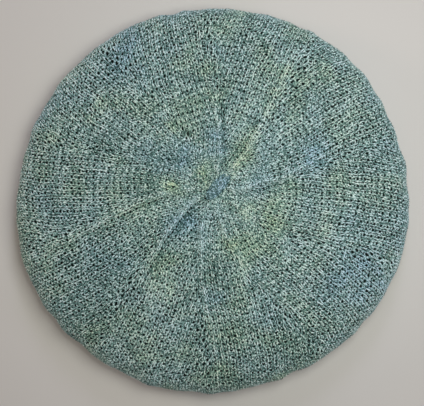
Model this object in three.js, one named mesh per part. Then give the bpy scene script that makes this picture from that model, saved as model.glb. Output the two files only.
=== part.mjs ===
// A hand-knitted beret that lies flat with its crown up: a hollow pouch of knitted fabric in three sections.
// Millimetres, +Z up. The origin is on the surface that it lies on, below the middle of its outline.
import * as THREE from 'three';

// Driving sizes, in millimetres and degrees
const RIM_RADIUS = 137.4; // mean radius of the rim, seen from above
const RIM_HEIGHT = 10.5; // height of the rim's widest line, where the crown meets the underside
const WALL = 3.2; // thickness of the knitted fabric
const GAP = 0.3; // clearance between neighbouring sections
const CROWN_POINT = new THREE.Vector2(1.4, 9.0); // where the last stitches are drawn together
const SWIRL_SHARE = 0.2; // share of the way to the rim at which a line has made its whole turn
const SWIRL_POWER = 2.2; // a higher power keeps the lines straight for longer
const BAND_OUTER = 88; // where the underside ends and the ribbing starts
const RIB_COUNT = 54; // knit-one, purl-one ribs round the head opening
const COLUMNS_PER_RIB = 4;
const GATHER_COUNT = 27; // the ribbing draws in the underside by this many soft gathers
const COLUMNS_PER_GATHER = 3;
const YARN_COLOUR = '#6e847f';
const YARN_ROUGHNESS = 0.95;

// The outline seen from above is a circle with a few slow waves
const RIM_WAVES = [
  { waves: 1, size: 0.15, at: 180.0 },
  { waves: 2, size: 1.88, at: 20.1 },
  { waves: 3, size: 0.69, at: 93.4 },
  { waves: 4, size: 0.28, at: 56.6 },
  { waves: 5, size: 0.72, at: 51.3 },
  { waves: 7, size: 0.31, at: 47.9 },
];

// Ten decrease lines part the crown into wedges. Each leaves the rim at an angle and turns clockwise on its way in.
const DECREASE_LINES = [
  { rim: 23.4, turn: 16, ridge: 1.1 },
  { rim: 60.5, turn: 10, ridge: 1.2 },
  { rim: 95.0, turn: 13, ridge: 0.9 },
  { rim: 129.0, turn: 13, ridge: 0.8 },
  { rim: 164.1, turn: 15, ridge: 0.8 },
  { rim: 197.7, turn: 17, ridge: 1.1 },
  { rim: 233.3, turn: 17, ridge: 1.2 },
  { rim: 271.7, turn: 21, ridge: 1.2 },
  { rim: 307.7, turn: 25, ridge: 0.9 },
  { rim: 343.7, turn: 17, ridge: 0.9 },
];

// Across a wedge, from one decrease line to the next: a ridge on the line, a furrow on each side, a soft panel between
const WEDGE_COLUMNS = [
  { across: 0.0, lift: 1.0 },
  { across: 0.08, lift: -0.3 },
  { across: 0.2, lift: 0.05 },
  { across: 0.38, lift: 0.25 },
  { across: 0.57, lift: 0.3 },
  { across: 0.75, lift: 0.15 },
  { across: 0.9, lift: -0.6 },
];

// Rings of the crown's outer face, from the first round beside the crown point out to the rim
const CROWN_RINGS = [
  { share: 0.028, height: 25.3, ridge: 0.2 },
  { share: 0.065, height: 24.9, ridge: 0.7 },
  { share: 0.12, height: 25.3, ridge: 1.1 },
  { share: 0.2, height: 25.8, ridge: 1.2 },
  { share: 0.31, height: 25.9, ridge: 1.1 },
  { share: 0.44, height: 25.7, ridge: 0.9 },
  { share: 0.58, height: 25.2, ridge: 0.75 },
  { share: 0.71, height: 24.5, ridge: 0.6 },
  { share: 0.82, height: 23.6, ridge: 0.5 },
  { share: 0.89, height: 22.4, ridge: 0.4 },
  { share: 0.935, height: 20.8, ridge: 0.35 },
  { share: 0.966, height: 18.6, ridge: 0.3 },
  { share: 0.986, height: 15.9, ridge: 0.2 },
  { share: 0.997, height: 13.0, ridge: 0.1 },
  { share: 1.0, height: RIM_HEIGHT, ridge: 0.0 },
];
const CROWN_POINT_HEIGHT = 26.2;

// Rings of the underside's outer face, from the rim down to the surface and in to the ribbing
const UNDERSIDE_RINGS = [
  { share: 0.0, height: RIM_HEIGHT - GAP, gather: 0.0 },
  { share: 0.014, height: 7.2, gather: 0.0 },
  { share: 0.052, height: 4.3, gather: 0.0 },
  { share: 0.12, height: 1.9, gather: 0.0 },
  { share: 0.22, height: 0.5, gather: 0.0 },
  { share: 0.33, height: 0.0, gather: 0.0 },
  { share: 0.88, height: 0.0, gather: 0.0 },
  { share: 1.0, height: 0.2, gather: 0.9 },
];

// Rings of the ribbed band, from the underside in to the head opening: the fabric's middle, half its thickness, and
// how far the ribs swing it up and down
const BAND_RINGS = [
  { radius: BAND_OUTER - GAP, middle: 2.2, half: 1.5, swing: 0.5 },
  { radius: 82, middle: 2.6, half: 1.5, swing: 0.9 },
  { radius: 66, middle: 2.6, half: 1.5, swing: 0.9 },
  { radius: 63, middle: 2.6, half: 0.8, swing: 0.7 },
];

const toRadians = THREE.MathUtils.degToRad;

// A point of the rim's outline, seen from above, at an angle in degrees
function rimPoint(angle) {
  let radius = RIM_RADIUS;
  for (const row of RIM_WAVES) {
    radius += row.size * Math.cos(row.waves * toRadians(angle - row.at));
  }
  return new THREE.Vector2(Math.cos(toRadians(angle)), Math.sin(toRadians(angle))).multiplyScalar(radius);
}

// Where a decrease line runs at a share of the way from the crown point to the rim
function lineAngle(line, share) {
  const inward = Math.max(0, (1 - share) / (1 - SWIRL_SHARE));
  return line.rim - line.turn * inward ** SWIRL_POWER;
}

// The columns of one round of the crown, wedge by wedge: each has an angle and a lift
function crownColumns(share) {
  const columns = [];
  DECREASE_LINES.forEach((line, index) => {
    const next = DECREASE_LINES[(index + 1) % DECREASE_LINES.length];
    const start = lineAngle(line, share);
    const width = THREE.MathUtils.euclideanModulo(lineAngle(next, share) - start, 360);
    for (const column of WEDGE_COLUMNS) {
      const nearNext = column.across > 0.5;
      const strength = nearNext ? next.ridge : line.ridge;
      columns.push({ angle: start + width * column.across, lift: column.lift * strength });
    }
  });
  return columns;
}

// One round of the crown, drawn towards the crown point by its share
function crownLoop({ share, height, ridge }) {
  return crownColumns(share).map(({ angle, lift }) => {
    const place = rimPoint(angle).multiplyScalar(share).addScaledVector(CROWN_POINT, 1 - share);
    return new THREE.Vector3(place.x, place.y, height + ridge * lift);
  });
}

// The same rings one wall further in, measured square to the outer face. The side is 1 where the rings go outwards over
// the top, and -1 where they go inwards along the bottom.
function innerRings(rings, size, side) {
  return rings.map((ring, index) => {
    const before = rings[Math.max(0, index - 1)];
    const after = rings[Math.min(rings.length - 1, index + 1)];
    const run = new THREE.Vector2((after.share - before.share) * size, after.height - before.height).normalize();
    const share = ring.share + (side * run.y * WALL) / size;
    return { ...ring, share, height: ring.height - side * run.x * WALL, ridge: 0 };
  });
}

// Joins loops of equal length into one skin. The ends close on a point each, or the last loop meets the first.
function loft(loops, startPoint = null, endPoint = null) {
  const count = loops[0].length;
  const points = loops.flat();
  const index = [];
  const closesOnItself = startPoint === null;
  const bands = closesOnItself ? loops.length : loops.length - 1;
  for (let row = 0; row < bands; row += 1) {
    const here = row * count;
    const there = ((row + 1) % loops.length) * count;
    for (let column = 0; column < count; column += 1) {
      const next = (column + 1) % count;
      index.push(here + column, there + column, there + next);
      index.push(here + column, there + next, here + next);
    }
  }
  if (!closesOnItself) {
    const last = (loops.length - 1) * count;
    points.push(startPoint, endPoint);
    for (let column = 0; column < count; column += 1) {
      const next = (column + 1) % count;
      index.push(points.length - 2, column, next);
      index.push(last + column, points.length - 1, last + next);
    }
  }
  const geometry = new THREE.BufferGeometry().setFromPoints(points);
  geometry.setIndex(index);
  geometry.computeVertexNormals();
  return geometry;
}

// The crown: its outer face with ridges, its rim, and a smooth inner face with half as many rings
function crownGeometry() {
  const lining = innerRings(CROWN_RINGS, RIM_RADIUS, 1).filter((ring, index) => index % 2 === 0);
  lining[lining.length - 1].height = RIM_HEIGHT;
  const loops = [...CROWN_RINGS, ...lining.reverse()].map(crownLoop);
  const top = new THREE.Vector3(CROWN_POINT.x, CROWN_POINT.y, CROWN_POINT_HEIGHT);
  const bottom = new THREE.Vector3(CROWN_POINT.x, CROWN_POINT.y, CROWN_RINGS[0].height - WALL);
  return loft(loops, top, bottom);
}

// One round of the underside, on its way from the rim's outline to the circle where the ribbing starts
function undersideLoop({ share, height, gather }) {
  const count = GATHER_COUNT * COLUMNS_PER_GATHER;
  return Array.from({ length: count }, (unused, column) => {
    const angle = (360 * column) / count;
    const circle = new THREE.Vector2(Math.cos(toRadians(angle)), Math.sin(toRadians(angle)));
    const place = rimPoint(angle).lerp(circle.multiplyScalar(BAND_OUTER), share);
    const wave = (1 + Math.cos(GATHER_COUNT * toRadians(angle))) / 2;
    return new THREE.Vector3(place.x, place.y, height + gather * wave);
  });
}

function undersideGeometry() {
  const lining = innerRings(UNDERSIDE_RINGS, RIM_RADIUS - BAND_OUTER, -1).map((ring) => ({
    ...ring,
    share: Math.min(1, ring.share),
  }));
  lining[0].height = RIM_HEIGHT - GAP;
  const loops = [...UNDERSIDE_RINGS, ...lining.reverse()].map(undersideLoop);
  return loft(loops);
}

// One round of the ribbed band, on its lower side (-1) or its upper side (1)
function bandLoop({ radius, middle, half, swing }, side) {
  const count = RIB_COUNT * COLUMNS_PER_RIB;
  return Array.from({ length: count }, (unused, column) => {
    const angle = (2 * Math.PI * column) / count;
    const height = middle + side * half - swing * Math.cos(RIB_COUNT * angle);
    return new THREE.Vector3(radius * Math.cos(angle), radius * Math.sin(angle), height);
  });
}

function bandGeometry() {
  const lower = BAND_RINGS.map((ring) => bandLoop(ring, -1));
  const upper = BAND_RINGS.map((ring) => bandLoop(ring, 1));
  return loft([...lower, ...upper.reverse()]);
}

function knittedPiece(name, geometry) {
  const yarn = new THREE.MeshStandardMaterial({ color: YARN_COLOUR, roughness: YARN_ROUGHNESS, metalness: 0 });
  const piece = new THREE.Mesh(geometry, yarn);
  piece.name = name;
  return piece;
}

const beret = new THREE.Group();
beret.name = 'knitted_beret';
beret.add(knittedPiece('crown', crownGeometry()));
beret.add(knittedPiece('underside', undersideGeometry()));
beret.add(knittedPiece('ribbed_band', bandGeometry()));

export default beret;
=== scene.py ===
# A hand-knitted beret of heathered wool, lying flat with its crown up, made as real rounds of knitted loops.
import math

import bmesh
import bpy
import numpy as np
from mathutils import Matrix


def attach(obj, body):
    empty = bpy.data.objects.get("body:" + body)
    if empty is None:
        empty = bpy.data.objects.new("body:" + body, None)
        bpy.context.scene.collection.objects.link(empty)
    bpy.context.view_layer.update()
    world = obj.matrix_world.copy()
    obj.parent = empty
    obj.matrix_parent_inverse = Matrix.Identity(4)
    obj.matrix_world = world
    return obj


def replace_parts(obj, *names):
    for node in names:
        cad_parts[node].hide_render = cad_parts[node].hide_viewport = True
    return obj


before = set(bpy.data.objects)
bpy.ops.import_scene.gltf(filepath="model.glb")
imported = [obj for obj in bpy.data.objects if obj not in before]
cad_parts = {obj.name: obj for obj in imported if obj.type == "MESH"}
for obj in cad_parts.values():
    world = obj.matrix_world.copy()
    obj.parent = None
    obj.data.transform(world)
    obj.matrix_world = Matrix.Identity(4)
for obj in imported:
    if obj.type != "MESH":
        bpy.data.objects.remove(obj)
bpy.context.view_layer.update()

MM = 0.001
SEED = 20

# The pouch, in millimetres and degrees, as in the solids
RIM_RADIUS = 137.4  # mean radius of the rim, seen from above
RIM_HEIGHT = 10.5  # height of the rim's widest line
CROWN_POINT = (1.4, 9.0)  # where the last stitches are drawn together
CROWN_POINT_HEIGHT = 26.2
SWIRL_SHARE = 0.2  # share of the way to the rim at which a line has made its whole turn
SWIRL_POWER = 2.2  # a higher power keeps the lines straight for longer
BAND_OUTER = 88.0  # where the underside ends and the ribbing starts
RIB_COUNT = 54
RIM_WAVES = (
    {"waves": 1, "size": 0.15, "at": 180.0},
    {"waves": 2, "size": 1.88, "at": 20.1},
    {"waves": 3, "size": 0.69, "at": 93.4},
    {"waves": 4, "size": 0.28, "at": 56.6},
    {"waves": 5, "size": 0.72, "at": 51.3},
    {"waves": 7, "size": 0.31, "at": 47.9},
)
CROWN_RINGS = (
    {"share": 0.0, "height": CROWN_POINT_HEIGHT, "ridge": 0.0},
    {"share": 0.028, "height": 25.3, "ridge": 0.2},
    {"share": 0.065, "height": 24.9, "ridge": 0.7},
    {"share": 0.12, "height": 25.3, "ridge": 1.1},
    {"share": 0.2, "height": 25.8, "ridge": 1.2},
    {"share": 0.31, "height": 25.9, "ridge": 1.1},
    {"share": 0.44, "height": 25.7, "ridge": 0.9},
    {"share": 0.58, "height": 25.2, "ridge": 0.75},
    {"share": 0.71, "height": 24.5, "ridge": 0.6},
    {"share": 0.82, "height": 23.6, "ridge": 0.5},
    {"share": 0.89, "height": 22.4, "ridge": 0.4},
    {"share": 0.935, "height": 20.8, "ridge": 0.35},
    {"share": 0.966, "height": 18.6, "ridge": 0.3},
    {"share": 0.986, "height": 15.9, "ridge": 0.2},
    {"share": 0.997, "height": 13.0, "ridge": 0.1},
    {"share": 1.0, "height": RIM_HEIGHT, "ridge": 0.0},
)
UNDERSIDE_RINGS = (
    {"share": 0.014, "height": 7.2},
    {"share": 0.052, "height": 4.3},
    {"share": 0.12, "height": 1.9},
    {"share": 0.22, "height": 0.5},
    {"share": 0.33, "height": 0.0},
    {"share": 0.6, "height": 0.0},
    {"share": 0.88, "height": 0.0},
    {"share": 1.0, "height": 0.3},
)
BAND_RINGS = (
    {"radius": 88.5, "middle": 2.2, "swing": 0.3},
    {"radius": 82.0, "middle": 2.5, "swing": 0.9},
    {"radius": 66.0, "middle": 2.5, "swing": 0.9},
    {"radius": 62.5, "middle": 2.5, "swing": 0.7},
)

# Ten decrease lines part the crown into wedges. Each leaves the rim at an angle and turns clockwise on its
# way in. On a line the yarn leans to blue (tint -1) or yellow-green (1), and the raised thread is painted
# shade (tone -1) or painted light (1), up to a share of the way to the rim. The tones behind the line
# (clockwise) and ahead are painted shade in its furrows, and painted light where they are above 0.
LINE_COLUMNS = ("rim", "turn", "ridge", "tint", "tone_and_shading", "behind", "ahead", "to")
LINE_ROWS = (
    (23.4, 16, 1.0, -0.4, 0.5, -0.3, 0.0, 0.65),
    (60.5, 10, 1.2, 0.7, 1.2, 0.4, -0.2, 0.85),
    (95.0, 13, 0.6, -0.2, 0.6, -0.9, 0.0, 0.5),
    (129.0, 13, 0.3, 0.1, 0.1, -0.1, 0.0, 0.6),
    (164.1, 15, 0.3, -0.2, 0.1, -0.4, 0.0, 0.45),
    (197.7, 17, 0.9, 0.2, 0.6, 0.1, -0.2, 0.9),
    (233.3, 17, 1.0, -0.3, 1.2, 0.0, -1.0, 0.5),
    (271.7, 21, 0.7, 0.1, 0.6, -0.3, 0.0, 1.0),
    (307.7, 25, 0.5, 0.2, 0.3, 0.0, 0.0, 0.4),
    (343.7, 17, 0.3, 0.1, 0.1, 0.0, 0.0, 0.5),
)
DECREASE_LINES = [dict(zip(LINE_COLUMNS, row)) for row in LINE_ROWS]
CLOSED_LINES = DECREASE_LINES + DECREASE_LINES[:1]
RIDGE_WIDTH = 1.7  # of the raised thread on a line
FURROW_WIDTH = 2.6
FURROW_OFFSET = 3.6
FURROW_DEPTH = 0.3  # of the ridge's height
RELIEF = 1.8  # how much further the ridges stand out in the yarn than in the plain solid
TINT_WIDTH = 2 * FURROW_WIDTH
LEAN_START = 0.06  # share of the way to the rim at which the yarn starts to lean
LEAN_RISE = 0.1  # share over which it reaches its full lean
LEAN_FADE = 0.12  # share over which it fades at the far end
# Places with a tint of their own and a tone, in millimetres: the tone is partly the yarn's own and partly
# painted shade and light of soft folds, with painted shade along the lower rim
YARN_PLACES = (
    {"at": (53, 95), "size": 8, "tint": -0.3, "tone_and_shading": 0.6},
    {"at": (22, 18), "size": 8, "tint": 0.5, "tone_and_shading": 0.5},
    {"at": (40, -8), "size": 13, "tint": 1.0, "tone_and_shading": 0.1},
    {"at": (25, -31), "size": 12, "tint": 0.8, "tone_and_shading": 0.0},
    {"at": (-1, -47), "size": 11, "tint": 0.2, "tone_and_shading": -1.1},
    {"at": (1, 40), "size": 11, "tint": -1.3, "tone_and_shading": -0.1},
    {"at": (-20, 32), "size": 11, "tint": -1.6, "tone_and_shading": 0.0},
    {"at": (-36, 25), "size": 11, "tint": -0.7, "tone_and_shading": -0.5},
    {"at": (-8, 20), "size": 9, "tint": 1.6, "tone_and_shading": 0.0},
    {"at": (-27, 12), "size": 9, "tint": 1.6, "tone_and_shading": -0.1},
    {"at": (-46, 9), "size": 10, "tint": 0.5, "tone_and_shading": -0.9},
    {"at": (-20, -15), "size": 11, "tint": -1.1, "tone_and_shading": -0.4},
    {"at": (-73, -51), "size": 15, "tint": -0.4, "tone_and_shading": -0.4},
    {"at": (-62, 105), "size": 22, "tint": -0.9, "tone_and_shading": 0.2},
    {"at": (-94, 80), "size": 14, "tint": -0.6, "tone_and_shading": 0.4},
    {"at": (-76, 40), "size": 9, "tint": -0.8, "tone_and_shading": -0.7},
    {"at": (-80, 66), "size": 11, "tint": 0.8, "tone_and_shading": 0.3},
    {"at": (-28, 51), "size": 9, "tint": 0.9, "tone_and_shading": 0.0},
    {"at": (-6, 71), "size": 16, "tint": 0.6, "tone_and_shading": -0.3},
    {"at": (72, 28), "size": 14, "tint": -1.0, "tone_and_shading": 0.3},
    {"at": (90, 65), "size": 11, "tint": -0.4, "tone_and_shading": 0.6},
    {"at": (77, -20), "size": 9, "tint": 0.6, "tone_and_shading": 0.8},
    {"at": (108, -49), "size": 28, "tint": -1.2, "tone_and_shading": 0.5},
    {"at": (-36, -62), "size": 16, "tint": 0.4, "tone_and_shading": 0.4},
    {"at": (4, -65), "size": 9, "tint": -0.8, "tone_and_shading": -0.3},
    {"at": (5, -119), "size": 24, "tint": 0.3, "tone_and_shading": -0.5},
    {"at": (61, -104), "size": 18, "tint": 0.6, "tone_and_shading": -0.7},
    {"at": (-90, -88), "size": 18, "tint": 0.0, "tone_and_shading": -0.5},
    {"at": (-44, -98), "size": 14, "tint": 0.6, "tone_and_shading": 0.4},
)

# One loop of yarn, in millimetres or in stitches
YARN_RADIUS = 0.55
YARN_SIDES = 5
YARN_SCATTER = 0.08  # how much the yarn's thickness varies from stitch to stitch
YARN_SPARE = 0.15  # room for the thickest yarn
YARN_PER_STITCH = 20.0  # length of yarn in one loop
LOOP_STEPS = (0.0, 0.08, 0.16, 0.27, 0.38, 0.5, 0.62, 0.73, 0.84, 0.92)
LOOP_REACH = 4.25  # how far a loop reaches to either side of its round
LOOP_DEPTH = 0.22  # how far a loop's legs stand in front of the fabric's middle, and its ends behind
LOOP_TILT = 0.1  # how far a loop's head lies deeper than its feet
LOOP_PINCH = 0.258  # of a stitch: a loop is narrow at its foot and wide at its head
LOOP_ROUND = 0.055  # of a stitch: how far the turns of a loop are rounded off
LOOP_FLARE = 0.048  # of a stitch: how far the turns of a loop spread towards the next loops
WALE_DRAW = 0.023  # of a stitch: how far the two legs of a loop are drawn together
SWAY_SCATTER = 0.038  # of a stitch: how far loops lean to a side
GROW_SCATTER = 0.045  # of the reach: how much longer or shorter loops are
SINK_SCATTER = 0.08  # how far loops stand out or sink in
MID_DEPTH = LOOP_DEPTH + YARN_RADIUS + YARN_SPARE  # from the outer face to the middle of the fabric

# The rounds of loops
ROUND_SPACING = 4.77  # from one round to the next
MIDDLE_SPACING = 0.75  # of the spacing, near the crown point
MIDDLE_SHARES = (0.1, 0.45)  # shares of the way to the rim between which the rounds open up
RIM_STITCHES = 19.5  # in a wedge, at the rim
ROUND_LOSS = 15.7  # stitches that a wedge loses from the rim to the middle
TIGHTEST_STITCH = 3.2  # the narrowest that a stitch gets at the crown point
FIRST_ROUND = 1.5  # no round lies closer to the crown point
FIRST_LOOP = 0.4  # and no loop reaches closer to it
RIM_TURN = 1.5  # rounds of the crown's stitches that turn in under the rim
RIM_ROUNDS = 8
WEDGE_ROUNDS = 10
LINE_LEG = 0.25  # of a stitch: a decrease line runs along the first leg of a loop
LINE_GATHER = 10  # a higher power gathers a wedge's odd width closer to its decrease line
UNDERSIDE_LOSS = 0.6  # stitches in a wedge that each round of the underside loses on its way in
UNDERSIDE_SPARE = ROUND_SPACING / 3  # the underside's last round keeps this far from the ribbing
LAST_LOOP = 1.0  # how far its loops reach into the ribbing
BAND_SPACING = 4.2
BAND_SPARE = 1.0  # the band's last round keeps this far from its edge
UNEVEN_WAVES = 24  # slow waves that make the hand-knitted rounds uneven
UNEVEN_LENGTHS = (13.0, 40.0)
UNEVEN_SIZE = 0.42
UNEVEN_RISE = 0.5  # of that size, up and down

# The mat of fibres behind the loops, a dark sheet of painted shade that shows in the gaps
CORE_DEPTH = MID_DEPTH + 1.9  # from the outer face to the mat
CORE_THICKNESS = 0.5
CORE_WELD = 0.02
CORE_COLUMNS = 12  # in a wedge
CROWN_CORE_RINGS = 40
UNDERSIDE_CORE_RINGS = 16
BAND_CORE_COLUMNS = 6  # in a rib
BAND_CORE_RINGS = 5
BAND_CORE_INSET = 0.5  # from the band's edge

# The yarn's end is drawn up in a few flat turns over the crown point
END_AT = (3.5, 9.9)
END_ANGLE = 48.0
END_HEIGHT = 25.5
END_RISE = 0.9
END_TINT = -1.3
END_TONE = -0.7
END_TURNS = (
    {"half_length": 11.2, "half_width": 4.0},
    {"half_length": 10.0, "half_width": 2.9},
    {"half_length": 8.8, "half_width": 1.8},
    {"half_length": 7.6, "half_width": 0.7},
)

# Patterns in the wool, in millimetres
FLECKS_PER_MM = 0.85  # along the yarn
FLECKS_ROUND = 2.8  # round it
PLY_PITCH = 5.0  # length of yarn in which a ply winds round once
PATCH_SIZE = 7.0  # of lighter and darker places
DRIFT_SIZE = 25.0  # of places where the colour drifts
FIBRE_SIZE = 1.5  # of the mat's fibres
PURL_SIZE = 4.0  # of the bumps on the inside
PLY_RELIEF = 0.35
PURL_RELIEF = 1.0
BAKE_INSET = 0.06  # of a stitch's own patch in the bake map

# The studio, in metres, watts and degrees: a key lamp near the camera, and low lamps that light the rim
LAMP_COLUMNS = ("name", "place", "size", "power", "spread", "colour")
LAMP_ROWS = (
    ("key", (0.14, 0.07, 0.42), 0.3, 1.13, 180, "#f9fcf5"),
    ("right", (0.9, -0.42, 0.25), 0.25, 0.38, 120, "#f6e2ff"),
    ("upper", (0.1, 0.9, 0.5), 0.25, 0.88, 120, "#e0e0ff"),
    ("left", (-0.97, 0.3, 0.25), 0.25, 0.94, 120, "#fce2ce"),
    ("near", (-0.3, -0.95, 0.22), 0.25, 0.18, 120, "#ffdccc"),
)
LAMPS = [dict(zip(LAMP_COLUMNS, row)) for row in LAMP_ROWS]
SURROUNDING_COLOUR = "#f6f1ee"
SURROUNDING_STRENGTH = 0.2
FLOOR_RADIUS = 8.0
FLOOR_SIDES = 96

# The photograph, in pixels and millimetres
PHOTO_WIDTH = 424
BERET_PIXELS = 389.5  # mean width of the beret in the photograph
BERET_WIDTH = 275.0
MM_PER_PIXEL = BERET_WIDTH / BERET_PIXELS
CAMERA_DISTANCE = 600.0
CAMERA_OFFSET = (-0.7, -1.4)
CAMERA_NEAREST = 10.0
SENSOR = 36.0


# Tables and profiles
def smooth_table(keys, values, at):
    """Reads a table at many places along a smooth curve through its rows."""
    keys = np.asarray(keys, float)
    values = np.asarray(values, float)
    slopes = np.gradient(values, keys)
    rises = np.diff(values) / np.diff(keys)
    flat = rises[:-1] * rises[1:] <= 0
    slopes[1:-1][flat] = 0.0
    at = np.clip(at, keys[0], keys[-1])
    row = np.clip(np.searchsorted(keys, at, side="right") - 1, 0, len(keys) - 2)
    width = keys[row + 1] - keys[row]
    t = (at - keys[row]) / width
    start = (1 + 2 * t) * (1 - t) ** 2 * values[row] + t * (1 - t) ** 2 * width * slopes[row]
    end = t * t * (3 - 2 * t) * values[row + 1] + t * t * (t - 1) * width * slopes[row + 1]
    return start + end


def column(rows, name):
    """One column of a table."""
    return np.array([row[name] for row in rows], float)


def ridge_profile(far):
    """A thread that stands out on a line."""
    return np.exp(-((far / RIDGE_WIDTH) ** 2))


def furrow_profile(far):
    """A shallow furrow at either side of the thread."""
    return np.exp(-(((abs(far) - FURROW_OFFSET) / FURROW_WIDTH) ** 2))


class Pouch:
    """The knitted pouch: places on it are a wedge, a share across that wedge and a distance along the fabric
    from the crown point, over the rim and in along the underside."""

    SAMPLES = 900

    def __init__(self):
        crown = column(CROWN_RINGS, "share")
        under = column(UNDERSIDE_RINGS, "share")
        share = np.concatenate([crown, np.ones(len(under))])
        inward = np.concatenate([np.zeros(len(crown)), under])
        height = np.concatenate([column(CROWN_RINGS, "height"), column(UNDERSIDE_RINGS, "height")])
        ridge = np.concatenate([column(CROWN_RINGS, "ridge"), np.zeros(len(under))])
        reach = RIM_RADIUS * share + (BAND_OUTER - RIM_RADIUS) * inward
        chord = np.concatenate([[0.0], np.cumsum(np.hypot(np.diff(reach), np.diff(height)))])
        fine = np.linspace(0.0, chord[-1], self.SAMPLES)
        self.share = smooth_table(chord, share, fine)
        self.inward = smooth_table(chord, inward, fine)
        self.height = smooth_table(chord, height, fine)
        self.ridge = smooth_table(chord, ridge, fine)
        self.reach = RIM_RADIUS * self.share + (BAND_OUTER - RIM_RADIUS) * self.inward
        steps = np.hypot(np.diff(self.reach), np.diff(self.height))
        self.along = np.concatenate([[0.0], np.cumsum(steps)])
        run = np.stack([np.gradient(self.reach, self.along), np.gradient(self.height, self.along)])
        run /= np.linalg.norm(run, axis=0)
        self.out_flat = -run[1]
        self.out_up = run[0]
        self.rim = float(np.interp(chord[len(crown) - 1], fine, self.along))
        self.end = float(self.along[-1])

    def read(self, values, along):
        """Values of the mean pouch at distances along it."""
        return np.interp(along, self.along, values)

    def line_angles(self, share):
        """The angle of each decrease line, in degrees, at a share of the way to the rim."""
        inward = np.maximum(0.0, (1 - share) / (1 - SWIRL_SHARE)) ** SWIRL_POWER
        rim = np.append(column(DECREASE_LINES, "rim"), DECREASE_LINES[0]["rim"] + 360)
        turn = column(CLOSED_LINES, "turn")
        return rim[:, None] - turn[:, None] * inward[None]

    def wedge_span(self, wedge, along):
        """Where each place's wedge starts and how wide it is there, in degrees."""
        lines = self.line_angles(self.read(self.share, along))
        pick = np.arange(len(wedge))
        return lines[wedge, pick], lines[wedge + 1, pick] - lines[wedge, pick]

    def line_distances(self, wedge, across, along):
        """The lines at either side of each place, with the distance to them."""
        width = np.radians(self.wedge_span(wedge, along)[1]) * self.read(self.reach, along)
        return (wedge, across * width), (wedge + 1, (1 - across) * width)

    def rim_radius(self, angle):
        """The rim's radius from the middle of the outline, with its slow waves."""
        radius = np.full(len(angle), RIM_RADIUS)
        for row in RIM_WAVES:
            radius = radius + row["size"] * np.cos(row["waves"] * (angle - math.radians(row["at"])))
        return radius

    def stretch(self, wedge, across, run):
        """How far the rim lies from the crown point on the way through each place, as a share of its mean."""
        start, width = self.wedge_span(wedge, run)
        angle = np.radians(start + across * width)
        reach = self.rim_radius(angle) - CROWN_POINT[0] * np.cos(angle) - CROWN_POINT[1] * np.sin(angle)
        return reach / RIM_RADIUS

    def settle(self, wedge, across, run):
        """Rounds lie evenly round the crown point, which is nearer to one side of the rim: turns a distance
        from the crown point along the fabric into a distance along the mean pouch."""
        stretch = self.stretch(wedge, across, run)
        edge = self.rim * stretch
        under = self.rim + (run - edge) * (self.end - self.rim) / (self.end - edge)
        return np.where(run < edge, run / stretch, under)

    def line_lift(self, wedge, across, along):
        """How far the ridges and furrows of the lines stand out, as a share of the ridge's height."""
        ridge = np.zeros(len(wedge))
        furrow = np.zeros(len(wedge))
        for line, far in self.line_distances(wedge, across, along):
            strength = column(CLOSED_LINES, "ridge")[line]
            ridge = np.maximum(ridge, strength * ridge_profile(far))
            furrow = np.maximum(furrow, strength * furrow_profile(far))
        return ridge - FURROW_DEPTH * furrow

    def point(self, wedge, across, along, out, relief=RELIEF):
        """Points out from the fabric's outer face, and the way out at each of them."""
        share = self.read(self.share, along)
        inward = self.read(self.inward, along)
        start, width = self.wedge_span(wedge, along)
        angle = np.radians(start + across * width)
        rim = self.rim_radius(angle)
        flat = np.stack([np.cos(angle), np.sin(angle)], axis=1)
        crown = (1 - share)[:, None] * np.array(CROWN_POINT) + (share * rim)[:, None] * flat
        place = (1 - inward)[:, None] * crown + (inward * BAND_OUTER)[:, None] * flat
        lift = self.line_lift(wedge, across, along)
        height = self.read(self.height, along) + relief * self.read(self.ridge, along) * lift
        way_flat = self.read(self.out_flat, along)[:, None] * flat
        way = np.concatenate([way_flat, self.read(self.out_up, along)[:, None]], axis=1)
        way /= np.linalg.norm(way, axis=1)[:, None]
        return np.concatenate([place, height[:, None]], axis=1) + out[:, None] * way, way


class Band:
    """The ribbed band: a flat ring of knit-one, purl-one ribs between the underside and the head opening."""

    def __init__(self):
        self.radius = column(BAND_RINGS, "radius")[::-1]
        self.middle = column(BAND_RINGS, "middle")[::-1]
        self.swing = column(BAND_RINGS, "swing")[::-1]

    def point(self, stitch, radius, out):
        """Points out from the band's middle. Knit stitches stand down to the outer face, purl stitches up."""
        angle = 2 * math.pi * stitch / (2 * RIB_COUNT)
        middle = np.interp(radius, self.radius, self.middle)
        swing = np.interp(radius, self.radius, self.swing)
        height = middle - swing * np.cos(math.pi * (stitch - 0.5)) - out
        flat = np.stack([np.cos(angle), np.sin(angle)], axis=1) * radius[:, None]
        way = np.zeros((len(angle), 3))
        way[:, 2] = -1.0
        return np.concatenate([flat, height[:, None]], axis=1), way


class Unevenness:
    """Slow waves in all directions that shift neighbouring stitches together."""

    def __init__(self):
        generator = np.random.default_rng(SEED)
        length = generator.uniform(*UNEVEN_LENGTHS, (UNEVEN_WAVES, 3))
        angle = generator.uniform(0, 2 * math.pi, (UNEVEN_WAVES, 3))
        self.pace = 2 * math.pi / length * np.stack([np.cos(angle), np.sin(angle)])
        self.start = generator.uniform(0, 2 * math.pi, (UNEVEN_WAVES, 3))

    def shift(self, points):
        """How far each point is shifted, in three directions."""
        phase = np.einsum("pa,awc->pwc", points[:, :2], self.pace) + self.start
        return UNEVEN_SIZE * math.sqrt(2 / UNEVEN_WAVES) * np.sin(phase).sum(axis=1)


# Pieces
def add_piece(name, mesh, materials):
    """Puts a finished mesh in the scene as a piece of the beret."""
    mesh.shade_smooth()
    for material in materials:
        mesh.materials.append(material)
    piece = bpy.data.objects.new(name, mesh)
    bpy.context.scene.collection.objects.link(piece)
    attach(piece, "root")
    return piece


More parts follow.
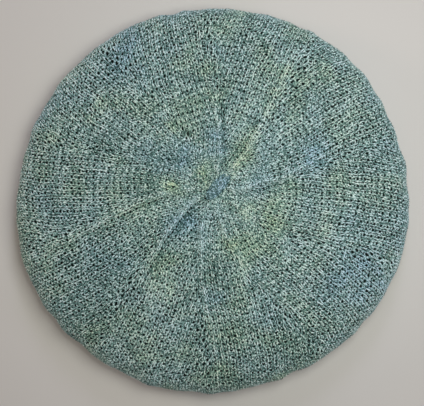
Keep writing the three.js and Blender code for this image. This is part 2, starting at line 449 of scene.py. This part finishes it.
# The rounds of yarn
def loop_path(count, generator):
    """One round of loops as stitch places, reach towards the crown point, and depth before the middle."""
    steps = np.asarray(LOOP_STEPS)
    stitch = np.repeat(np.arange(count), len(steps))
    turn = np.tile(2 * math.pi * steps, count)
    sway = np.repeat(generator.normal(0.0, SWAY_SCATTER, count), len(steps))
    grow = np.repeat(generator.normal(0.0, GROW_SCATTER, count), len(steps))
    sink = np.repeat(generator.normal(0.0, SINK_SCATTER, count), len(steps))
    bulge = np.sin(turn / 2) ** 2
    place = stitch + turn / (2 * math.pi) + LOOP_PINCH * np.sin(2 * turn) + LOOP_ROUND * np.sin(4 * turn)
    place = place + WALE_DRAW * np.sin(turn) - LOOP_FLARE * np.sin(3 * turn) + sway * bulge
    reach = -LOOP_REACH * np.cos(turn) * (1 + grow * bulge)
    depth = -LOOP_DEPTH * np.cos(2 * turn) + LOOP_TILT * np.cos(turn) + sink * bulge
    return place, reach, depth


def tube_rings(points, ways, radius):
    """Rings of vertices round a closed path."""
    ahead = np.roll(points, -1, axis=0) - np.roll(points, 1, axis=0)
    ahead /= np.linalg.norm(ahead, axis=1)[:, None]
    side = np.cross(ahead, ways)
    side /= np.linalg.norm(side, axis=1)[:, None]
    up = np.cross(side, ahead)
    around = 2 * math.pi * np.arange(YARN_SIDES) / YARN_SIDES
    rings = points[:, None] + radius[:, None, None] * (
        np.cos(around)[None, :, None] * side[:, None] + np.sin(around)[None, :, None] * up[:, None])
    return rings.reshape(-1, 3)


class Yarn:
    """Collects closed rounds of yarn and joins them into one mesh."""

    def __init__(self):
        self.vertices = []
        self.faces = []
        self.spots = []
        self.tints = []
        self.tones_and_shading = []
        self.used = 0
        self.stitches = 0

    def add_round(self, points, ways, lean, generator):
        """Adds the tube of one round, with the tint of each point and its lightness, which carries painted
        light and shade.
        """
        steps = len(LOOP_STEPS)
        count = len(points)
        radius = YARN_RADIUS * np.repeat(generator.normal(1.0, YARN_SCATTER, count // steps), steps)
        self.vertices.append(tube_rings(points, ways, radius))
        ring = np.repeat(np.arange(count), YARN_SIDES)
        side = np.tile(np.arange(YARN_SIDES), count)
        ring_next = (ring + 1) % count
        side_next = (side + 1) % YARN_SIDES
        faces = np.stack([ring * YARN_SIDES + side, ring_next * YARN_SIDES + side,
                          ring_next * YARN_SIDES + side_next, ring * YARN_SIDES + side_next], axis=1)
        self.faces.append(faces + self.used)
        self.spots.append(np.stack([ring + self.stitches * steps, side], axis=1))
        self.tints.append(np.repeat(lean[0], YARN_SIDES))
        self.tones_and_shading.append(np.repeat(lean[1], YARN_SIDES))
        self.used += count * YARN_SIDES
        self.stitches += count // steps

    def build(self, name, material):
        """Makes the piece from all its rounds."""
        vertices = np.concatenate(self.vertices) * MM
        faces = np.concatenate(self.faces)
        mesh = bpy.data.meshes.new(name)
        mesh.vertices.add(len(vertices))
        mesh.vertices.foreach_set("co", vertices.ravel())
        mesh.loops.add(faces.size)
        mesh.loops.foreach_set("vertex_index", faces.ravel().astype(np.int32))
        mesh.polygons.add(len(faces))
        mesh.polygons.foreach_set("loop_start", np.arange(0, faces.size, 4, dtype=np.int32))
        mesh.update(calc_edges=True)
        mesh.validate()
        self.add_maps(mesh)
        for lean, values in (("tint", self.tints), ("tone_and_shading", self.tones_and_shading)):
            attribute = mesh.attributes.new(lean, "FLOAT", "POINT")
            attribute.data.foreach_set("value", np.concatenate(values))
        add_piece(name, mesh, [material])

    def add_maps(self, mesh):
        """One map runs along the yarn in millimetres, and one gives every stitch its own patch for baking."""
        steps = len(LOOP_STEPS)
        spots = np.concatenate(self.spots)
        corner_ring = spots[:, :1] + np.array([[0, 1, 1, 0]])
        corner_side = spots[:, 1:] + np.array([[0, 0, 1, 1]])
        run = mesh.uv_layers.new(name="yarn_run")
        length = corner_ring * YARN_PER_STITCH / steps
        run.data.foreach_set("uv", np.stack([length, corner_side / YARN_SIDES], axis=2).ravel())
        bake = mesh.uv_layers.new(name="OFBake")
        stitch = (spots[:, :1] // steps) + np.zeros((1, 4), int)
        columns = math.ceil(math.sqrt(self.stitches * 2 * math.pi * YARN_RADIUS / YARN_PER_STITCH))
        rows = math.ceil(self.stitches / columns)
        u = (corner_ring - stitch * steps) / steps
        v = corner_side / YARN_SIDES
        u = (stitch % columns + BAKE_INSET + (1 - 2 * BAKE_INSET) * u) / columns
        v = (stitch // columns + BAKE_INSET + (1 - 2 * BAKE_INSET) * v) / rows
        bake.data.foreach_set("uv", np.stack([u, v], axis=2).ravel())


def tightening(place):
    """Rounds lie closer together near the crown point."""
    return np.interp(place / RIM_RADIUS, MIDDLE_SHARES, (MIDDLE_SPACING, 1.0))


def crown_rounds(pouch):
    """The rounds of the crown from the rim in: where each lies and how many stitches a wedge has there."""
    rounds = []
    place = pouch.rim + RIM_TURN * ROUND_SPACING
    while place > FIRST_ROUND:
        share = min(1.0, place / RIM_RADIUS)
        roomy = RIM_STITCHES - ROUND_LOSS * (1 - share)
        tight = 2 * math.pi * place / len(DECREASE_LINES) / TIGHTEST_STITCH
        rounds.append((place, max(1.0, min(roomy, tight))))
        place -= ROUND_SPACING * tightening(place)
    return rounds


def underside_rounds(pouch):
    """The rounds of the underside from the rim in."""
    rounds = []
    place = pouch.rim + (RIM_TURN + 1) * ROUND_SPACING
    while place < pouch.end - UNDERSIDE_SPARE:
        rounds.append((place, RIM_STITCHES - UNDERSIDE_LOSS * (len(rounds) + 1)))
        place += ROUND_SPACING
    return rounds


def yarn_tint_and_shading(points, wedge, across, along, pouch):
    """How far the yarn leans to blue or yellow-green, and how far it is painted light or dark: painted
    highlight on the raised threads of the lines, painted shade in their furrows, and in places the yarn's own
    lightness with the painted shade and light of soft folds and of the lower rim.
    """
    share = pouch.read(pouch.share, along)
    started = np.clip((share - LEAN_START) / LEAN_RISE, 0, 1)
    tint = np.zeros(len(wedge))
    tone_and_shading = np.zeros(len(wedge))
    for (line, far), side in zip(pouch.line_distances(wedge, across, along), ("ahead", "behind")):
        reach = np.clip((column(CLOSED_LINES, "to")[line] - share) / LEAN_FADE, 0, 1) * started
        tint += column(CLOSED_LINES, "tint")[line] * reach * np.exp(-((far / TINT_WIDTH) ** 2))
        # painted highlight on the line's raised thread
        tone_and_shading += column(CLOSED_LINES, "tone_and_shading")[line] * reach * ridge_profile(far)
        # painted shade in the furrows beside the line, painted light where the value is above 0
        tone_and_shading += column(CLOSED_LINES, side)[line] * reach * furrow_profile(far)
    top = pouch.read(pouch.out_up, along) > 0
    for row in YARN_PLACES:
        far = np.hypot(points[:, 0] - row["at"][0], points[:, 1] - row["at"][1])
        near = top * np.exp(-((far / row["size"]) ** 2))
        tint += row["tint"] * near
        # painted shade and light of soft folds and of the lower rim, along with the yarn's own lightness
        tone_and_shading += row["tone_and_shading"] * near
    return tint, tone_and_shading


def knit_rounds(pouch, rounds, room, uneven, yarn, generator):
    """Knits some rounds of the pouch. Stitches keep their column from round to round, and a decrease line
    takes up the columns that reach it."""
    places, numbers = room
    every = np.arange(len(DECREASE_LINES))
    even = 360 / len(DECREASE_LINES)
    for place, number in rounds:
        here = np.full(len(every), place)
        middle = pouch.stretch(every, np.full(len(every), 0.5), here)
        wanted = number * pouch.wedge_span(every, here)[1] / even / middle
        counts = np.maximum(1, np.round(wanted)).astype(int)
        paths = [loop_path(count, generator) for count in counts]
        stitch = np.concatenate([path[0] for path in paths])
        reach = np.concatenate([path[1] for path in paths])
        depth = np.concatenate([path[2] for path in paths])
        wedge = np.repeat(every, counts * len(LOOP_STEPS))
        count = counts[wedge]
        run = np.clip(place - tightening(place) * reach, FIRST_LOOP, pouch.end + LAST_LOOP)
        width = np.interp(run, places, numbers) * pouch.wedge_span(wedge, run)[1] / even / middle[wedge]
        gather = np.clip(stitch / count, 0, 1) ** LINE_GATHER
        across = stitch / width + (1 - count / width) * gather - LINE_LEG / width
        along = pouch.settle(wedge, across, run)
        points, ways = pouch.point(wedge, across, along, depth - MID_DEPTH)
        shift = uneven.shift(points)
        shift[:, 2] *= UNEVEN_RISE * np.clip(pouch.read(pouch.out_up, along), 0, 1)
        points = points + shift
        yarn.add_round(points, ways, yarn_tint_and_shading(points, wedge, across, along, pouch), generator)


def draw_up_end(yarn, generator):
    """Lays the end of the yarn over the crown point."""
    count = 2 * len(LOOP_STEPS)
    turn = 2 * math.pi * np.arange(count) / count
    slant = math.radians(END_ANGLE)
    for row in END_TURNS:
        length = row["half_length"] * np.cos(turn)
        width = row["half_width"] * np.sin(turn)
        x = END_AT[0] + length * math.cos(slant) - width * math.sin(slant)
        y = END_AT[1] + length * math.sin(slant) + width * math.cos(slant)
        fall = (length / END_TURNS[0]["half_length"]) ** 2 + (width / END_TURNS[0]["half_width"]) ** 2
        z = END_HEIGHT + END_RISE * (1 - fall)
        ways = np.tile((0.0, 0.0, 1.0), (count, 1))
        lean = (np.full(count, END_TINT), np.full(count, END_TONE))
        yarn.add_round(np.stack([x, y, z], axis=1), ways, lean, generator)


def knit_band(band, yarn, generator):
    """Knits the ribbed band from the underside in to its edge: knit and purl stitches take turns."""
    radius = BAND_RINGS[0]["radius"] - BAND_SPACING / 2
    while radius > BAND_RINGS[-1]["radius"] + BAND_SPARE:
        stitch, reach, depth = loop_path(2 * RIB_COUNT, generator)
        flip = np.sin(math.pi * stitch)
        points, ways = band.point(stitch, radius + reach * BAND_SPACING / ROUND_SPACING, depth * flip)
        yarn.add_round(points, ways, (np.zeros(len(points)), np.zeros(len(points))), generator)
        radius -= BAND_SPACING


# The mat of fibres inside the fabric, darkened as painted shade for the gaps
def grid_piece(name, columns, rings, place, materials):
    """A closed skin made from a grid: place turns shares of the grid's width and depth into points. The
    second material covers the face towards the inside."""
    skin = bmesh.new()
    bmesh.ops.create_grid(skin, x_segments=columns, y_segments=rings, size=0.5)
    shares = np.array([vertex.co[:2] for vertex in skin.verts]) + 0.5
    points = place(shares[:, 0], shares[:, 1]) * MM
    for vertex, point in zip(skin.verts, points):
        vertex.co = point
    bmesh.ops.remove_doubles(skin, verts=skin.verts, dist=CORE_WELD * MM)
    bmesh.ops.recalc_face_normals(skin, faces=skin.faces)
    mesh = bpy.data.meshes.new(name)
    skin.to_mesh(mesh)
    skin.free()
    piece = add_piece(name, mesh, materials)
    wall = piece.modifiers.new("mat thickness", "SOLIDIFY")
    wall.thickness = CORE_THICKNESS * MM
    wall.offset = 0.0
    wall.material_offset = len(materials) - 1
    return piece


def pouch_core(name, pouch, start, end, rings, materials):
    """The mat behind the stitches of a stretch of the pouch."""
    wedges = len(DECREASE_LINES)

    def place(x, y):
        wedge = np.minimum((x * wedges).astype(int), wedges - 1)
        across = x * wedges - wedge
        along = start + (end - start) * y
        return pouch.point(wedge, across, along, np.full(len(x), -CORE_DEPTH), relief=0.0)[0]

    return grid_piece(name, wedges * CORE_COLUMNS, rings, place, materials)


def band_core(name, band, material):
    """The mat between the stitches of the ribbed band."""
    outer = BAND_RINGS[0]["radius"]
    inner = BAND_RINGS[-1]["radius"] + BAND_CORE_INSET

    def place(x, y):
        return band.point(x * 2 * RIB_COUNT, outer + (inner - outer) * y, np.zeros(len(x)))[0]

    return grid_piece(name, RIB_COUNT * BAND_CORE_COLUMNS, BAND_CORE_RINGS, place, [material])


# Materials
def linear_colour(code):
    """An sRGB hex value as linear red, green, blue and alpha."""
    parts = [int(code[i:i + 2], 16) / 255 for i in (1, 3, 5)]
    linear = [p / 12.92 if p <= 0.04045 else ((p + 0.055) / 1.055) ** 2.4 for p in parts]
    return (*linear, 1.0)


def add_node(tree, kind, settings=None, inputs=None, links=None):
    """Adds a node, sets its properties and input values, and links other nodes' outputs to its inputs."""
    node = tree.nodes.new(kind)
    for name, value in (settings or {}).items():
        setattr(node, name, value)
    for name, value in (inputs or {}).items():
        node.inputs[name].default_value = value
    for name, source in (links or {}).items():
        tree.links.new(source, node.inputs[name])
    return node


def add_ramp(tree, stops, factor):
    """Adds a colour ramp from places and hex colours."""
    node = add_node(tree, "ShaderNodeValToRGB", links={"Fac": factor})
    ramp = node.color_ramp
    while len(ramp.elements) < len(stops):
        ramp.elements.new(0.5)
    for element, (place, code) in zip(ramp.elements, stops):
        element.position = place
        element.color = linear_colour(code)
    return node.outputs["Color"]


def add_noise(tree, size, detail, spot):
    """Adds a noise whose places are about so many millimetres across."""
    return add_node(tree, "ShaderNodeTexNoise", inputs={"Scale": 1 / (size * MM), "Detail": detail},
                    links={"Vector": spot.outputs["Object"]})


def start_material(name):
    """A new material with an empty node tree."""
    material = bpy.data.materials.new(name)
    material.use_nodes = True
    material.node_tree.nodes.clear()
    return material, material.node_tree


def finish_material(tree, inputs, links):
    """Ends a material in its shader."""
    shader = add_node(tree, "ShaderNodeBsdfPrincipled", inputs=inputs, links=links)
    add_node(tree, "ShaderNodeOutputMaterial", links={"Surface": shader.outputs["BSDF"]})


def wool_flecks(tree, run):
    """Short flecks along the yarn, from the light and dark fibres that it is spun from."""
    short = add_node(tree, "ShaderNodeMapping", inputs={"Scale": (FLECKS_PER_MM, FLECKS_ROUND, 1.0)},
                     links={"Vector": run.outputs["UV"]})
    return add_node(tree, "ShaderNodeTexNoise", {"noise_dimensions": "2D"},
                    {"Scale": 1.0, "Detail": 2.0, "Roughness": 0.6}, {"Vector": short.outputs["Vector"]})


def wool_heather(tree, fleck, patch):
    """Grey-green from dark to light, with the flecks, a little with larger places, and lighter or darker by
    the attribute that carries painted light and shade along with the yarn's own lightness.
    """
    blend = add_node(tree, "ShaderNodeMix", inputs={"Factor": 0.11},
                     links={"A": fleck.outputs["Fac"], "B": patch.outputs["Fac"]})
    # painted light and shade of the lines, folds and rim, with the yarn's own lightness, shift the ramp
    tone_and_shading = add_node(tree, "ShaderNodeAttribute", {"attribute_name": "tone_and_shading"})
    value = add_node(tree, "ShaderNodeMath", {"operation": "MULTIPLY_ADD"}, {1: 0.05},
                     {0: tone_and_shading.outputs["Fac"], 2: blend.outputs["Result"]})
    stops = [(0.39, "#2e504a"), (0.45, "#638b84"), (0.53, "#9cc5bf"), (0.59, "#ecfffd")]
    return add_ramp(tree, stops, value.outputs["Value"])


def wool_tint(tree, spot, patch, heather):
    """The colour drifts slowly to yellow-green and to blue, and the mottled tint adds to it."""
    drift = add_noise(tree, DRIFT_SIZE, 3.0, spot)
    tint = add_node(tree, "ShaderNodeAttribute", {"attribute_name": "tint"})
    mottle = add_node(tree, "ShaderNodeMath", {"operation": "MULTIPLY"},
                      links={0: patch.outputs["Fac"], 1: tint.outputs["Fac"]})
    lean = add_node(tree, "ShaderNodeMath", {"operation": "MULTIPLY_ADD"}, {1: 2.8, 2: -1.4},
                    {0: drift.outputs["Fac"]})
    total = add_node(tree, "ShaderNodeMath", {"operation": "MULTIPLY_ADD"}, {1: 1.5},
                     {0: mottle.outputs["Value"], 2: lean.outputs["Value"]})
    colour = heather
    for full, code in ((1.2, "#fcfbd9"), (-1.2, "#dfecff")):
        share = add_node(tree, "ShaderNodeMapRange", inputs={"From Max": full},
                         links={"Value": total.outputs["Value"]})
        tinted = add_node(tree, "ShaderNodeMix", {"data_type": "RGBA", "blend_type": "MULTIPLY"},
                          {"B": linear_colour(code)}, {"Factor": share.outputs["Result"], "A": colour})
        colour = tinted.outputs["Result"]
    return colour


def wool_plies(tree, run, fleck):
    """Plies that wind round the yarn, roughened by its fibres."""
    plies = add_node(tree, "ShaderNodeMapping", inputs={"Scale": (1 / PLY_PITCH, 1.0, 1.0)},
                     links={"Vector": run.outputs["UV"]})
    wave = add_node(tree, "ShaderNodeTexWave", {"bands_direction": "DIAGONAL"},
                    {"Scale": 1.0, "Distortion": 1.0}, {"Vector": plies.outputs["Vector"]})
    relief = add_node(tree, "ShaderNodeMix", inputs={"Factor": 0.5},
                      links={"A": wave.outputs["Fac"], "B": fleck.outputs["Fac"]})
    bump = add_node(tree, "ShaderNodeBump", inputs={"Strength": 0.6, "Distance": PLY_RELIEF * MM},
                    links={"Height": relief.outputs["Result"]})
    return bump.outputs["Normal"]


def heathered_wool():
    """Heathered wool yarn, spun from light, dark and grey-green fibres: matte, with short flecks along the
    yarn, a slow drift of colour and a soft bloom of loose fibres."""
    material, tree = start_material("heathered wool yarn")
    run = add_node(tree, "ShaderNodeUVMap", {"uv_map": "yarn_run"})
    spot = add_node(tree, "ShaderNodeTexCoord")
    fleck = wool_flecks(tree, run)
    patch = add_noise(tree, PATCH_SIZE, 2.0, spot)
    colour = wool_tint(tree, spot, patch, wool_heather(tree, fleck, patch))
    matte = {"Roughness": 0.9, "IOR": 1.45, "Specular IOR Level": 0.2}
    bloom = {"Sheen Weight": 0.2, "Sheen Roughness": 0.5}
    finish_material(tree, {**matte, **bloom}, {"Base Color": colour, "Normal": wool_plies(tree, run, fleck)})
    return material


def fibre_mat_in_painted_shade():
    """The mat of loose fibres inside the fabric, seen only in the gaps between stitches, coloured near-black
    as painted shade in those gaps.
    """
    material, tree = start_material("matted wool fibres in painted shade")
    spot = add_node(tree, "ShaderNodeTexCoord")
    fibres = add_noise(tree, FIBRE_SIZE, 3.0, spot)
    # near-black green: painted shade in the gaps between stitches
    colour = add_ramp(tree, [(0.35, "#18221f"), (0.65, "#2a3733")], fibres.outputs["Fac"])
    finish_material(tree, {"Roughness": 1.0, "IOR": 1.45, "Specular IOR Level": 0.1}, {"Base Color": colour})
    return material


def inner_wool():
    """The inside of the fabric, seen through the head opening: the same wool, with bumps of purl stitches and
    painted shade that darkens it between the bumps.
    """
    material, tree = start_material("inside of the wool")
    spot = add_node(tree, "ShaderNodeTexCoord")
    purls = add_node(tree, "ShaderNodeTexVoronoi", inputs={"Scale": 1 / (PURL_SIZE * MM)},
                     links={"Vector": spot.outputs["Object"]})
    # light on the bumps and darker towards their edges: painted shade between the purl bumps
    stops = [(0.1, "#8fb5af"), (0.45, "#5f857f"), (0.8, "#2c433f")]
    colour = add_ramp(tree, stops, purls.outputs["Distance"])
    bump = add_node(tree, "ShaderNodeBump", {"invert": True}, {"Strength": 0.8, "Distance": PURL_RELIEF * MM},
                    {"Height": purls.outputs["Distance"]})
    surface = {"Roughness": 0.9, "IOR": 1.45, "Specular IOR Level": 0.2}
    finish_material(tree, surface, {"Base Color": colour, "Normal": bump.outputs["Normal"]})
    return material


def pale_paint():
    """Plain pale matte paint for the floor."""
    material, tree = start_material("pale floor paint")
    finish_material(tree, {"Base Color": linear_colour("#dedbd6"), "Roughness": 0.85}, {})
    return material


# The beret
def make_beret():
    """Knits every piece and puts the mats in place of the plain solids."""
    generator = np.random.default_rng(SEED)
    pouch = Pouch()
    band = Band()
    uneven = Unevenness()
    wool = heathered_wool()
    # the mat's material is near-black painted shade for the gaps between stitches
    fibres = fibre_mat_in_painted_shade()
    walls = [fibres, inner_wool()]
    crown = crown_rounds(pouch)
    underside = underside_rounds(pouch)
    every = sorted(crown + underside)
    room = (np.array([place for place, unused in every]), np.array([number for unused, number in every]))
    inner_start = RIM_ROUNDS + WEDGE_ROUNDS
    for name, rounds in (
        ("crown_stitches", crown[inner_start:]),
        ("wedge_stitches", crown[RIM_ROUNDS:inner_start]),
        ("rim_stitches", crown[:RIM_ROUNDS]),
        ("underside_stitches", underside),
    ):
        yarn = Yarn()
        knit_rounds(pouch, rounds, room, uneven, yarn, generator)
        if name == "crown_stitches":
            draw_up_end(yarn, generator)
        yarn.build(name, wool)
    ribbing = Yarn()
    knit_band(band, ribbing, generator)
    ribbing.build("band_stitches", wool)
    crown_mat = pouch_core("crown_mat", pouch, 0.0, pouch.rim, CROWN_CORE_RINGS, walls)
    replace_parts(crown_mat, "crown")
    underside_mat = pouch_core("underside_mat", pouch, pouch.rim, pouch.end, UNDERSIDE_CORE_RINGS, walls)
    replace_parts(underside_mat, "underside")
    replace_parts(band_core("band_mat", band, fibres), "ribbed_band")


# The floor, the light and the camera
def make_floor():
    """A wide round floor."""
    floor = bmesh.new()
    bmesh.ops.create_circle(floor, cap_ends=True, segments=FLOOR_SIDES, radius=FLOOR_RADIUS)
    mesh = bpy.data.meshes.new("floor")
    floor.to_mesh(mesh)
    floor.free()
    mesh.materials.append(pale_paint())
    piece = bpy.data.objects.new("floor", mesh)
    bpy.context.scene.collection.objects.link(piece)


def make_lamp(row):
    """A square soft lamp that faces the beret."""
    light = bpy.data.lights.new(row["name"], "AREA")
    light.size = row["size"]
    light.energy = row["power"]
    light.spread = math.radians(row["spread"])
    light.color = linear_colour(row["colour"])[:3]
    lamp = bpy.data.objects.new(row["name"], light)
    lamp.location = row["place"]
    direction = -lamp.location
    lamp.rotation_euler = direction.to_track_quat("-Z", "Y").to_euler()
    bpy.context.scene.collection.objects.link(lamp)


def make_light():
    """The lamps and a pale surrounding."""
    for row in LAMPS:
        make_lamp(row)
    world = bpy.data.worlds.new("studio")
    world.use_nodes = True
    background = world.node_tree.nodes["Background"]
    background.inputs["Color"].default_value = linear_colour(SURROUNDING_COLOUR)
    background.inputs["Strength"].default_value = SURROUNDING_STRENGTH
    bpy.context.scene.world = world
    bpy.context.scene.view_settings.view_transform = "Standard"


def make_camera():
    """Straight above the beret, as far off as a hand-held camera, framed as the photograph is."""
    data = bpy.data.cameras.new("camera")
    data.sensor_width = SENSOR
    data.lens = SENSOR * CAMERA_DISTANCE / (PHOTO_WIDTH * MM_PER_PIXEL)
    data.clip_start = CAMERA_NEAREST * MM
    camera = bpy.data.objects.new("camera", data)
    camera.location = (CAMERA_OFFSET[0] * MM, CAMERA_OFFSET[1] * MM, (CAMERA_DISTANCE + RIM_HEIGHT) * MM)
    bpy.context.scene.collection.objects.link(camera)
    bpy.context.scene.camera = camera


make_camera()
make_beret()
make_floor()
make_light()
